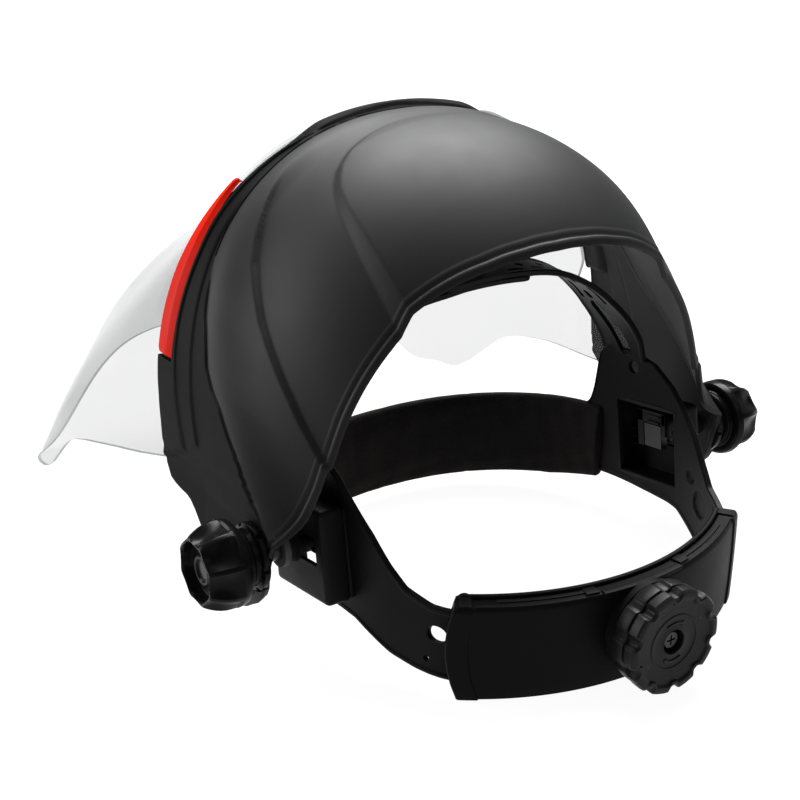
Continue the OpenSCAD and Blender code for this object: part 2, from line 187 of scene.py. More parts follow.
def lens_material(name, tint, face, edge, rough=0.05):
    """Clear sheet: see-through face on, greyer and more mirror-like at grazing angles."""
    m = bpy.data.materials.new(name)
    m.use_nodes = True
    nt = m.node_tree
    L = nt.links.new
    b = nt.nodes["Principled BSDF"]
    lw = nt.nodes.new("ShaderNodeLayerWeight")
    lw.inputs["Blend"].default_value = 0.35
    tc = nt.nodes.new("ShaderNodeTexCoord")
    n = nt.nodes.new("ShaderNodeTexNoise")
    n.inputs["Scale"].default_value = 22
    n.inputs["Detail"].default_value = 3
    L(tc.outputs["Object"], n.inputs["Vector"])
    a = nt.nodes.new("ShaderNodeMapRange")
    a.inputs["To Min"].default_value = face
    a.inputs["To Max"].default_value = edge
    L(lw.outputs["Facing"], a.inputs["Value"])
    L(a.outputs["Result"], b.inputs["Alpha"])
    mr = nt.nodes.new("ShaderNodeMapRange")
    mr.inputs["To Min"].default_value = rough * 0.6
    mr.inputs["To Max"].default_value = rough * 1.6
    L(n.outputs["Fac"], mr.inputs["Value"])
    L(mr.outputs["Result"], b.inputs["Roughness"])
    mix = nt.nodes.new("ShaderNodeMix")
    mix.data_type = "RGBA"
    mix.inputs["A"].default_value = [c * 0.96 for c in tint] + [1]
    mix.inputs["B"].default_value = list(tint) + [1]
    L(n.outputs["Fac"], mix.inputs["Factor"])
    L(mix.outputs["Result"], b.inputs["Base Color"])
    b.inputs["IOR"].default_value = 1.58
    b.inputs["Specular IOR Level"].default_value = 0.2
    return m


M_LENS = lens_material("visor_clear", (0.03, 0.032, 0.034), 0.2, 0.28)
M_LENS_EDGE = lens_material("visor_edge", (0.16, 0.17, 0.18), 0.6, 0.92, 0.15)


# ------------------------------------------------------------------ mesh helpers
def mk(name, V, F, mat, sharp=38.0, raw=False, mats=None):
    V = np.asarray(V, float).reshape(-1, 3)
    if not raw:
        V = V * 0.001 + PIV
    me = bpy.data.meshes.new(name)
    me.from_pydata(V.tolist(), [], [list(map(int, f)) for f in F])
    me.validate()
    o = bpy.data.objects.new(name, me)
    scene.collection.objects.link(o)
    me.materials.append(mat)
    if sharp is not None:
        tidy(o, sharp)
    return o


def tidy(o, sharp=38.0, recalc=True):
    bm = bmesh.new()
    bm.from_mesh(o.data)
    if recalc:
        bmesh.ops.recalc_face_normals(bm, faces=bm.faces)
    lim = math.radians(sharp)
    for f in bm.faces:
        f.smooth = True
    for e in bm.edges:
        e.smooth = not (len(e.link_faces) == 2 and e.calc_face_angle(0) > lim)
    bm.to_mesh(o.data)
    bm.free()
    o.data.update()
    return o


def bake(o):
    dg = bpy.context.evaluated_depsgraph_get()
    me = bpy.data.meshes.new_from_object(o.evaluated_get(dg))
    o.modifiers.clear()
    old = o.data
    o.data = me
    bpy.data.meshes.remove(old)
    return o


def quads(n, m, wrap_i=False, wrap_j=False, base=0, flip=False):
    I = np.arange(n if wrap_i else n - 1)
    J = np.arange(m if wrap_j else m - 1)
    i, j = np.meshgrid(I, J, indexing="ij")
    i2, j2 = (i + 1) % n, (j + 1) % m
    f = np.stack([i * m + j, i * m + j2, i2 * m + j2, i2 * m + j], -1).reshape(-1, 4) + base
    return f[:, ::-1] if flip else f


def solid(name, A, B, mat, sharp=38.0):
    """Closed solid between two grids of the same shape, open in both directions."""
    n, m = A.shape[:2]
    o = n * m
    F = [quads(n, m), quads(n, m, base=o, flip=True)]
    i = np.arange(n - 1)
    F.append(np.stack([i * m, (i + 1) * m, o + (i + 1) * m, o + i * m], -1))
    F.append(np.stack([i * m + m - 1, o + i * m + m - 1, o + (i + 1) * m + m - 1, (i + 1) * m + m - 1], -1))
    j = np.arange(m - 1)
    F.append(np.stack([j, o + j, o + j + 1, j + 1], -1))
    F.append(np.stack([(n - 1) * m + j, (n - 1) * m + j + 1, o + (n - 1) * m + j + 1, o + (n - 1) * m + j], -1))
    F = np.concatenate(F)
    return mk(name, np.concatenate([A.reshape(-1, 3), B.reshape(-1, 3)]), F, mat, sharp), len(quads(n, m)) * 2


def tube(name, R, mat, sharp=38.0, caps=True, wrap_i=False):
    """Rings R[i][j], each closed in j, joined along i, with end caps."""
    n, m = R.shape[:2]
    F = quads(n, m, wrap_i=wrap_i, wrap_j=True).tolist()
    if caps and not wrap_i:
        F.append(list(range(m)))
        F.append([(n - 1) * m + k for k in range(m)])
    return mk(name, R.reshape(-1, 3), F, mat, sharp)


def cutter(points):
    """A hidden prism from two lists of 3D points (mm) for a boolean cut."""
    a, b = points
    m = len(a)
    F = [list(range(m))[::-1], [m + k for k in range(m)]] + [[k, (k + 1) % m, m + (k + 1) % m, m + k] for k in range(m)]
    return mk("cut", np.array(list(a) + list(b)), F, M_HARN, 38)


def cut(o, c, solver="EXACT"):
    md = o.modifiers.new("b", "BOOLEAN")
    md.operation = "DIFFERENCE"
    md.solver = solver
    md.object = c
    bake(o)
    bpy.data.objects.remove(c)
    return o


def bore(o, axis, c, r, a0, a1, solver="EXACT", k=96):
    """Cut a round hole of radius r along x (axis 0) or y (axis 1), from a0 to a1."""
    q = np.linspace(0, 2 * math.pi, k, endpoint=False)

    def ring(a):
        u, v = c[0] + r * np.cos(q), c[1] + r * np.sin(q)
        return [np.array([a, i, j]) if axis == 0 else np.array([i, a, j]) for i, j in zip(u, v)]
    return cut(o, cutter((ring(a0), ring(a1))), solver)


def ring_pts(c, r, axis, k=32, rz=None):
    t = np.linspace(0, 2 * math.pi, k, endpoint=False)
    rz = r if rz is None else rz
    if axis == "x":
        return [np.array([c[0], c[1] + r * math.cos(a), c[2] + rz * math.sin(a)]) for a in t]
    return [np.array([c[0] + r * math.cos(a), c[1], c[2] + rz * math.sin(a)]) for a in t]


def sm(t):
    t = np.clip(t, 0, 1)
    return t * t * (3 - 2 * t)


def sp(v, e):
    return np.sign(v) * np.abs(v) ** e


def catmull(P, n):
    P = np.asarray(P, float)
    k = len(P) - 1
    out = []
    for u in np.linspace(0, k - 1e-9, n):
        i = int(u)
        f = u - i
        a, b, c, d = P[max(i - 1, 0)], P[i], P[i + 1], P[min(i + 2, k)]
        out.append(0.5 * (2 * b + (c - a) * f + (2 * a - 5 * b + 4 * c - d) * f * f + (3 * b - a - 3 * c + d) * f ** 3))
    return np.array(out)


def resample(P, step):
    P = np.asarray(P, float)
    s = np.r_[0, np.cumsum(np.linalg.norm(np.diff(P, axis=0), axis=1))]
    t = np.linspace(0, s[-1], max(2, int(round(s[-1] / step)) + 1))
    return np.stack([np.interp(t, s, P[:, k]) for k in range(P.shape[1])], -1)


def put(o, body, slot, *nodes):
    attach(o, body)
    if nodes:
        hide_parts(*nodes)
    return o


# ------------------------------------------------------------------ crown shell
ZC = -5.32


def polar(P):
    return np.degrees(np.arctan2(P[:, 2] - ZC, P[:, 0])), np.hypot(P[:, 0], P[:, 2] - ZC)


def dome_r(th, y):
    th, y = np.broadcast_arrays(np.radians(th), y)
    c, s = np.abs(np.cos(th)), np.abs(np.sin(th))
    lo, hi = np.zeros(th.shape), np.full(th.shape, 260.0)
    for _ in range(34):
        m = (lo + hi) / 2
        f = (m * c / 131.8) ** 2.09 + (np.sqrt(((y + 50.06) / 133.2) ** 2 + (m * s / 170.2) ** 2)) ** 2.09
        lo, hi = np.where(f < 1, m, lo), np.where(f < 1, hi, m)
    return (lo + hi) / 2


_a = np.radians(np.linspace(0, 90, 181))
_z = 122.8 * np.sin(_a) ** (2 / 2.09)
F1 = np.r_[[[131, -84, -40], [131, -87, 20], [131, -88, 32]],
           np.c_[131 * np.cos(_a) ** (2 / 2.09), -88.5 - 3.5 * np.clip(_z / 60, 0, 1), 44.3 + _z]]
_z = 136.8 * np.sin(_a) ** (2 / 2.15)
_t = math.radians(16.2)
F2 = np.r_[[[130.2, -44, -40], [130.2, -46, 10], [130.8, -48, 25]],
           np.c_[131.1 * np.cos(_a) ** (2 / 2.15), -49.2 - _z * math.sin(_t), 32.3 + _z * math.cos(_t)]]
T1, R1 = polar(F1)
T2, R2 = polar(F2)


def table(th, xs, ys):
    return np.interp(th, xs, ys)


def f1(th):
    return table(th, T1, R1), table(th, T1, F1[:, 1])


def f2(th):
    return table(th, T2, R2), table(th, T2, F2[:, 1])


def yc_line(th):
    c = table(th, [6.7, 9.8, 14.1, 19.1, 22.2, 25.8, 27.9, 30.9, 33.7, 36.3, 38.5, 40.6, 42.9, 45, 48, 51, 54],
              [16.5, 7.2, -4.3, -14.5, -23.2, -32, -40, -47.8, -51.5, -55.6, -60, -63, -65.5, -68, -71.4, -74.4, -77.0])
    b = f2(th)[1]
    return np.maximum(np.where(th > 54, b, np.where(th < 6.7, 40, c)), b)


def ya_line(th):
    return table(th, [-12, 5, 12.3, 21.7, 29.4, 36, 41, 46.4, 51.3, 55.6, 60, 72, 90],
                 [-50, -58, -62, -68.6, -73, -76, -77.8, -79.8, -82, -83.8, -84.8, -86.5, -89.5])


def y_clip(th):
    return table(th, [28.5, 36, 41, 46.4, 51.3, 55.6, 60, 90], [-76.4, -78.3, -80, -82, -84.4, -86, -86.5, -88])


def y_front(th):
    return np.where(th < 12, table(th, [-11.5, -11.2, -10.3, -8, -4.5, -0.2, 2, 3.4, 3.9, 4.2, 4.6, 5.3, 7.7, 9.5, 12],
                                   [-17.5, -19.5, -24, -31, -42, -50.7, -56, -60.5, -64, -70, -75, -79.5, -84.4, -86, -86.6]),
                    f1(th)[1])


def y_rim(th):
    return table(th, [-11.5, -11.2, -10.5, -9.3, -7, -5, -3.2, 0, 3, 5.5, 6.7, 7.2, 8.9, 10.8, 15, 19.8, 27.8, 35.3, 43.3, 51.4, 56.5, 58.6, 65.3, 74.8, 82.9, 90],
                 [-14, -12.5, -8.5, -4.5, 4, 8.5, 10.8, 13, 14.6, 15.8, 16.8, 17.6, 18.8, 19.4, 19.9, 21.2, 22.7, 23.9, 25.8, 27.8, 28.9, 29.4, 32.2, 36.2, 38, 38.5])


def ridge2(y):
    return table(y, [-84, -78, -73.6, -65.5, -55, -49, -40.6, -30, -12, 0, 14, 22, 30], [84, 73.5, 66, 59.4, 52.7, 49.5, 46.2, 42.3, 36.7, 32.8, 27.4, 24, 20.5])


def ridge3(y):
    o = table(y, [-62.5, -61.5, -60.2, -57.5, -54, -45.6, -37, -25, -11.4, -1, 13, 25.5, 40], [93, 88, 81, 76.5, 73.3, 68.8, 66.2, 63.9, 61.6, 59.8, 57.5, 55, 52])
    i = table(y, [-62.5, -61.5, -58.8, -56, -51.5, -46, -40, -32.3, -21.4, -9.6, 4.7, 16.2, 25.5, 40], [96, 92, 83, 78, 73.6, 70.6, 68.6, 66.6, 65.0, 63.7, 62.1, 60.6, 59.1, 57])
    return o, i


def crown_r(th, y):
    ra, ya = f1(th)
    rb, yb = f2(th)
    c = yc_line(th)
    t = np.clip((y - ya) / (yb - ya), 0, 1)
    face = ra + (rb - ra) * t
    st = (0.4 + 0.5 * sm((46 - th) / 6)) * sm((th - 7) / 6)
    d = np.maximum(y - c, 0)
    D = rb - dome_r(th, c)
    dome = dome_r(th, y) + D * np.exp(-(d / 15.0) ** 2 / 2) - st * np.exp(-(d / 26.0) ** 2)
    # flange bands, stepping up towards the front edge, and ending in a slanted step low down
    low = sm((th - (8.5 + (y + 84) * 0.21)) / 0.9)
    yA = ya_line(th)
    lift = low * (0.75 * sm((yA + 0.35 - y) / 0.7) + 0.75 * sm((yb - 0.5 + 0.35 - y) / 0.7) * sm((62 - th) / 12))
    # recess that the visor's edge and the red clip sit in
    lift = lift - 3.2 * sm((th - 28.1) / 0.5) * sm((77 - th) / 8.0) * sm((y_clip(th) + 0.5 - y) / 0.5)
    r = np.where(y <= c, face + lift, dome)
    # fine groove just inside line C
    r = r - 0.35 * np.exp(-((y - c - 1.1) / 0.6) ** 2) * sm((50 - th) / 10) * sm((th - 9) / 7)
    # raised fields of the dome
    r2 = ridge2(y)
    s2 = np.clip((th - r2) / 1.0, 0, 1)
    sink = np.exp(-(np.maximum(th - r2 - 1.25, 0) / 15.0) ** 2)
    r = r - 2.0 * s2 * sink * sm((y - yb - 1.0) / 5.0) * sm((y + 75) / 14)
    o3, i3 = ridge3(y)
    s3 = np.clip((th - o3) / (i3 - o3), 0, 1)
    h3 = table(y, [-62, -50, -20, 10, 30], [0.0, 1.5, 2.6, 3.3, 3.6])
    r = r + h3 * s3
    # rolled lip round the rear opening
    s = (y_rim(th) - y)
    amp = sm((th + 4) / 10)
    lip = 0.6 * np.sin(np.pi * np.clip(s / 2.6, 0, 1)) ** 0.7 - 0.9 * sm(1 - s / 0.9) + 0.25 * np.sin(np.pi * np.clip((s - 3.4) / 2.2, 0, 1)) - 0.2 * np.sin(np.pi * np.clip((s - 2.5) / 1.2, 0, 1))
    r = r + lip * amp - 0.9 * sm(1 - s / 1.1) * (1 - amp)
    # rounded front and lower edge
    e = (y - y_front(th))
    r = r - 0.9 * sm(1 - e / 1.3)
    return r


def crown():
    th = np.r_[np.linspace(-11.5, 3.2, 36), np.linspace(3.35, 6, 20), np.linspace(6.3, 27.6, 56), np.linspace(27.8, 29.0, 8), np.linspace(29.3, 90, 185)]
    rows = []
    for t in th:
        b0, b5 = float(y_front(t)), float(y_rim(t))
        yA, yB, yC = float(ya_line(t)), float(f2(t)[1]), float(yc_line(t))
        yK = float(y_clip(t)) + 0.25
        w = b5 - b0
        b = [b0, b0 + 1.5, yK, yA, yB, yC, b5 - 9, b5 - 0.0]
        mn = [0, 1.0, 1.2, 1.2, 1.4, 1.6, 3.0, 3.0]
        tot = sum(mn)
        if w < tot * 1.6:
            mn = [q * w / (tot * 1.6) for q in mn]
        for k in range(1, 8):
            b[k] = max(b[k], b[k - 1] + mn[k])
        for k in range(6, 0, -1):
            b[k] = min(b[k], (b5 if k == 6 else b[k + 1]) - mn[k + 1])
        b[7] = b5
        seg = [4, 6, 5, 8, 14, 92, 24]
        ys = [b[0]]
        # extra lines hugging each step
        for k in range(7):
            q = np.linspace(0, 1, seg[k] + 1)[1:]
            if k in (1, 2, 3, 4):
                q = 0.5 - 0.5 * np.cos(np.pi * q) if seg[k] > 4 else q
                q = 0.75 * q + 0.25 * np.linspace(0, 1, seg[k] + 1)[1:]
            if k == 5:
                q = q ** 1.12
            ys += list(b[k] + (b[k + 1] - b[k]) * q)
        rows.append(ys)
    Y = np.array(rows)
    TH = np.broadcast_to(th[:, None], Y.shape)
    R = crown_r(TH, Y)
    X = R * np.cos(np.radians(TH))
    Z = ZC + R * np.sin(np.radians(TH))
    X[-1] = 0.0
    half = np.stack([X, Y, Z], -1)
    other = half[:-1][::-1].copy()
    other[..., 0] *= -1
    P = np.concatenate([half, other])
    o = mk("crown", P.reshape(-1, 3), quads(P.shape[0], P.shape[1]), M_CROWN, None)
    tidy(o, 60)
    # the flange and the flat ear faces in front of line C have a finer, duller grain, and a darker base colour that is
    # painted shade for these faces
    o.data.materials.append(M_FLANGE_DULL_SHADED)
    nc = P.shape[1] - 1
    dull_shaded = (np.arange(len(o.data.polygons)) % nc) < 37
    o.data.polygons.foreach_set("material_index", dull_shaded.astype(np.int32))
    # make sure that the faces point outwards
    c = o.data.polygons[len(o.data.polygons) // 2]
    if (c.center - Vector((0, PIV[1] - 0.05, PIV[2]))).dot(c.normal) < 0:
        o.data.flip_normals()
    md = o.modifiers.new("wall", "SOLIDIFY")
    md.thickness = 0.0026
    md.offset = -1
    md.use_rim = True
    bake(o)
    # the stud's bore and the seat of the pressure collar in each ear
    for s in (1, -1):
        bore(o, 0, (0, 0), 5.4, s * 124, s * 135, "MANIFOLD")
        bore(o, 0, (0, 0), 15.9, s * 130.2, s * 136, "MANIFOLD")
    tidy(o, 50)
    mid = Vector((0, PIV[1] - 0.06, PIV[2] + 0.03))
    for f in o.data.polygons:
        if f.material_index == 1 and (f.center - mid).dot(f.normal) < 0:
            f.material_index = 0
    return o


put(crown(), "shield", "crown_black", "crown_shell")


# ------------------------------------------------------------------ visor
def arch(a, w, top):
    return np.stack([w * sp(np.cos(a), 2 / 2.09), np.full_like(a, -92.6), 44 - 34 * np.abs(np.cos(a)) ** 8 + (top - 44) * np.abs(np.sin(a)) ** (2 / 2.09)], -1)


SIDE = catmull([[128.2, -92.6, 12], [134, -112, 8], [138.5, -133, 4], [141.2, -152, -0.5], [142.8, -170, -5.5], [143, -187, -13], [142.2, -209, -30], [140.9, -231.4, -48.2]], 400)


def visor():
    na, nv = 200, 84
    h = np.linspace(0, 1, na // 2 + 1)
    h = np.pi / 2 * (0.55 * h + 0.45 * h ** 3)
    h[1:4] = h[4] * np.array([0.02, 0.1, 0.38])
    A = np.r_[h[:-1], np.pi - h[::-1]]
    # the corner between side edge and lower edge is rounded
    run = 32.6 * np.abs(np.sin(A)) ** (2 / 5.5)
    rc = 13.0
    vmax = 1 - np.where(run < rc, rc - np.sqrt(np.maximum(rc * rc - (rc - run) ** 2, 0)), 0) / 152.0
    v1 = np.linspace(0, 1, nv) ** 0.9
    v = v1[None, :] * vmax[:, None]
    vv = v[..., None]
    a = A[:, None] + 0 * v
    dd = np.degrees(np.minimum(A, np.pi - A))
    bump = sm((dd - 15) / 6) * sm((70 - dd) / 4)
    f = arch(A, 127.8, 164)
    f = f + (arch(A, 130.2, 166.3) - f) * bump[:, None]
    f = f[:, None, :]
    low = np.stack([140.9 * sp(np.cos(A), 2 / 5.5), -231.4 - 32.6 * np.abs(np.sin(A)) ** (2 / 5.5), -48.2 + 60 * np.abs(np.sin(A)) ** 7], -1)[:, None, :]
    idx = v * (len(SIDE) - 1)
    S = np.stack([np.interp(idx, np.arange(len(SIDE)), SIDE[:, k]) for k in range(3)], -1)
    e = S - (SIDE[0] + (SIDE[-1] - SIDE[0]) * v[..., None])
    w = (np.abs(np.cos(a)) ** 4.3)[..., None]
    E = np.stack([np.sign(np.cos(a)) * e[..., 0], e[..., 1], e[..., 2]], -1)
    g = (27 / 4 * v ** 2 * (1 - v) * np.abs(np.sin(a)) ** 2.2)[..., None]
    P = f + (low - f) * vv + w * E + g * np.array([0, -40.4, 4.1])
    k = np.array([1.0, 0.86, 0.7, 0.55, 0.4, 0.26, 0.14, 0.06])[None, :, None]
    deg = np.degrees(np.minimum(A, np.pi - A))
    tab = 43.0 * (1 - sm((deg - 7) / 9))[:, None, None]
    ext = k * (6.4 * (0.12 + 0.88 * bump)[:, None, None] + tab)
    Q = f + ext * np.array([0, 1.0, 0])
    Q[..., 0] *= 1 - 0.012 * (ext[..., 0] / 44)
    Q[..., 2] += 3.0 * ext[..., 0] / 44
    P = np.concatenate([Q, P], axis=1)
    c = np.array([0, -120.0, 20.0])
    d = c - P
    d = d / np.linalg.norm(d, axis=-1, keepdims=True)
    B = P + d * 2.0
    o, nface = solid("visor", P, B, M_LENS, 50)
    o.data.materials.append(M_LENS_EDGE)
    for p in o.data.polygons[nface:]:
        p.material_index = 1
    return o


put(visor(), "shield", "visor_clear", "visor_lens")


# ------------------------------------------------------------------ red clips
def clip(side):
    th = np.r_[np.linspace(28.7, 30, 6), np.linspace(30.4, 58.4, 90), np.linspace(58.6, 59.9, 6)]
    R = []
    for t in th:
        r = float(f1(t)[0])
        y0 = float(f1(t)[1]) - 0.5
        y1 = float(y_clip(t)) + 0.1
        y1 = y1 + (y0 + 4.2 - y1) * float(sm((t - 52) / 8.5))
        end = min(t - 28.7, 59.9 - t)
        k = 1 - 0.8 * (1 - min(1, end / 0.9)) ** 2
        top = 0.9 * k
        w = y1 - y0
        prof = [(y0, -0.75), (y0, top - 0.9), (y0 + 0.25, top - 0.35), (y0 + 0.8, top), (y0 + 0.45 * w, top + 0.12), (y0 + 0.62 * w, top + 0.05),
                (y0 + 0.66 * w, top - 0.15), (y1 - 0.5, top - 1.3), (y1 - 0.05, top - 1.5), (y1, -0.75)]
        ring = [(np.cos(np.radians(t)) * (r + h), y, ZC + np.sin(np.radians(t)) * (r + h)) for y, h in prof]
        R.append(ring)
    R = np.array(R, float)
    if side < 0:
        R[..., 0] *= -1
    return tube("red_clip_" + ("left" if side > 0 else "right"), R, M_RED, 24)


put(clip(1), "shield", "clip_red", "visor_clip_left")
put(clip(-1), "shield", "clip_red", "visor_clip_right")


# ------------------------------------------------------------------ head band with its two arms
def plan_path():
    a = np.linspace(90, 0, 200)
    ar = np.radians(a)
    fr = np.stack([96 * sp(np.cos(ar), 2 / 2.2), -5 - 97 * np.abs(np.sin(ar)) ** (2 / 2.2)], -1)
    arm = catmull([[96, -5], [96, 10], [95.2, 24], [92.4, 38], [88.2, 51], [81.8, 66.5], [74.6, 75.5], [66.8, 81]], 140)
    P = resample(np.r_[fr, arm[1:]], 0.9)
    return P


def smooth_line(x, y, step=0.25, w=3.0):
    g = np.arange(x[0], x[-1] + step, step)
    v = np.interp(g, x, y)
    k = np.ones(max(1, int(w / step)))
    k /= len(k)
    pad = len(k)
    vp = np.r_[np.full(pad, v[0]), v, np.full(pad, v[-1])]
    s = np.convolve(np.convolve(vp, k, "same"), k, "same")[pad:-pad]
    return g, s


BT = smooth_line([-102, -60, -46, -40, -37.5, -36.4, -35.6, -33.5, -30, -24, -15, -8, 1, 14, 23.8, 35, 44.5, 53, 65, 77, 78.5, 90],
                 [-8, -3, 3, 9, 18, 30, 37, 40, 42, 42, 42, 41.5, 40, 33, 25, 15, 4, -4, -8, -9, -11, -11], w=1.6)
BB = smooth_line([-102, -60, -30, 5, 18, 26, 34, 46, 58, 71, 77, 78.5, 90], [-33, -32, -30, -29.2, -28.8, -29.4, -33, -38.4, -40.8, -42, -42.4, -40.5, -40.5], w=3)


def band():
    P = plan_path()
    t = np.gradient(P, axis=0)
    t /= np.linalg.norm(t, axis=1, keepdims=True)
    nrm = np.stack([-t[:, 1], t[:, 0]], -1)
    nrm *= np.sign(nrm[:, :1] * P[:, :1] + 1e-9 + nrm[:, 1:] * P[:, 1:])
    y = P[:, 1]
    top = np.interp(y, *BT)
    bot = np.interp(y, *BB)
    u = np.r_[0, 0.6, 1.2, 1.9, 2.4, 2.9]
    rows = []
    for k in range(len(P)):
        h = top[k] - bot[k]
        mid = np.linspace(3.4, h - 3.4, 44)
        zz = np.r_[u, mid, h - u[::-1]] + bot[k]
        s = np.minimum(zz - bot[k], top[k] - zz)
        bead = 0.55 * sm((2.6 - s) / 0.6) - 0.55 * sm((0.7 - s) / 0.7)
        out = 1.1 + bead
        inn = 1.1 + bead
        # shallow round dimple on the inner face
        dd = math.hypot(y[k] - 47, 0)
        rr = np.hypot(y[k] - 47, zz + 17)
        inn = inn - 0.9 * sm((7.0 - rr) / 0.8)
        inn = inn - 0.9 * sm((3.6 - np.hypot(y[k] - 36, zz + 6.5)) / 0.8)
        rows.append(np.stack([np.c_[P[k, 0] + nrm[k, 0] * out, P[k, 1] + nrm[k, 1] * out, zz],
                              np.c_[P[k, 0] - nrm[k, 0] * inn, P[k, 1] - nrm[k, 1] * inn, zz]]))
    R = np.array(rows)
    O, I = R[:, 0], R[:, 1]
    mO, mI = O[1:][::-1].copy(), I[1:][::-1].copy()
    mO[..., 0] *= -1
    mI[..., 0] *= -1
    O, I = np.concatenate([mO, O]), np.concatenate([mI, I])
    o, _ = solid("head_band_strip", O, I, M_HARN, 40)
    pitch = math.radians(8)
    for s in (1, -1):
        # round holes
        for (yy, zz, r) in [(-13, 34.5, 3.4), (68, -21, 4.0), (64, -34, 1.4)]:
            a, b = sorted([60.0 * s, 120.0 * s])
            cut(o, cutter((ring_pts([a, yy, zz], r, "x"), ring_pts([b, yy, zz], r, "x"))))
        # opening into the side box
        q = [(-20.6, -21.5), (20.6, -21.5), (20.6, 17), (-20.6, 17)]
        pts = [(c * math.cos(pitch) - d * math.sin(pitch), c * math.sin(pitch) + d * math.cos(pitch)) for c, d in q]
        a, b = sorted([88.0 * s, 104.0 * s])
        cut(o, cutter(([np.array([a, p[0], p[1]]) for p in pts], [np.array([b, p[0], p[1]]) for p in pts])))
    tidy(o, 32)
    return o


o = band()
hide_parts("head_band", "band_arm_left", "band_arm_right")
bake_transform(o)


# ------------------------------------------------------------------ side boxes of the band
def box_mesh(name, x0, x1, y0, y1, z0, z1, mat, bev=1.0, seg=3, rot=0.0):
    bm = bmesh.new()
    bmesh.ops.create_cube(bm, size=1)
    for v in bm.verts:
        v.co = Vector(((x0 + x1) / 2 + v.co.x * (x1 - x0), (y0 + y1) / 2 + v.co.y * (y1 - y0), (z0 + z1) / 2 + v.co.z * (z1 - z0)))
    if bev > 0:
        bmesh.ops.bevel(bm, geom=list(bm.edges), offset=bev, segments=seg, affect="EDGES", profile=0.5)
    c, s = math.cos(rot), math.sin(rot)
    for v in bm.verts:
        y, z = v.co.y, v.co.z
        v.co = Vector((v.co.x, y * c - z * s, y * s + z * c)) * 0.001 + Vector(PIV)
    me = bpy.data.meshes.new(name)
    bm.to_mesh(me)
    bm.free()
    ob = bpy.data.objects.new(name, me)
    scene.collection.objects.link(ob)
    me.materials.append(mat)
    return ob


def join_into(o, others):
    """Add other meshes' geometry to o's mesh."""
    bm = bmesh.new()
    bm.from_mesh(o.data)
    for q in others:
        bm.from_mesh(q.data)
        bpy.data.objects.remove(q)
    bm.to_mesh(o.data)
    bm.free()
    return o


def side_box(s):
    rot = math.radians(8)
    X = lambda a, b: (min(a * s, b * s), max(a * s, b * s))
    x0, x1 = X(96.9, 109.6)
    o = box_mesh("side_box_" + ("left" if s > 0 else "right"), x0, x1, -23, 23, -24, 19.5, M_HARN, 2.4, 4, rot)
    a, b = X(90, 107.4)
    cut(o, box_mesh("c", a, b, -20.6, 20.6, -21.5, 17, M_HARN, 0.8, 2, rot))
    a, b = X(100, 115)
    cut(o, box_mesh("c", a, b, -16.5, 16.5, -6.6, 6.6, M_HARN, 0.6, 2, rot))
    tidy(o, 30)
    rot2 = rot
    # raised frame lip round the inner opening, a ledge and detent teeth inside
    extra = []
    for (ya, yb, za, zb) in [(-21.8, 21.8, 16.6, 18.4), (-21.8, 21.8, -23.0, -21.2), (-22.2, -20.4, -23, 18.4), (20.4, 22.2, -23, 18.4)]:
        a, b = X(94.3, 97.6)
        extra.append(box_mesh("e", a, b, ya, yb, za, zb, M_HARN, 0.45, 2, rot2))
    for k in range(3):
        a, b = X(103.4, 107.6)
        extra.append(box_mesh("e", a, b, 17.2 - 0.0, 20.8, -9.5 + k * 4.2, -8.4 + k * 4.2, M_HARN, 0.3, 2, rot2))
        a, b = X(103.4, 107.6)
        extra.append(box_mesh("e", a, b, -20.8, -17.6, -9.5 + k * 4.2, -8.4 + k * 4.2, M_HARN, 0.3, 2, rot2))
    for q in extra:
        tidy(q, 30)
    join_into(o, extra)
    return o


put(side_box(1), "harness", "harness_black")
put(side_box(-1), "harness", "harness_black")


# ------------------------------------------------------------------ crown straps
def strap_c(a):
    """centre y and half width of the strap at angle a in degrees"""
    return table(a, [8, 14, 20, 30, 40, 60, 78, 104], [-19.5, -20, -21, -25, -28, -28, -22, -20]), table(a, [8, 16, 22, 30, 40, 55, 75, 90, 104], [15, 16, 17.5, 17.8, 16, 13.5, 12.5, 12, 12])


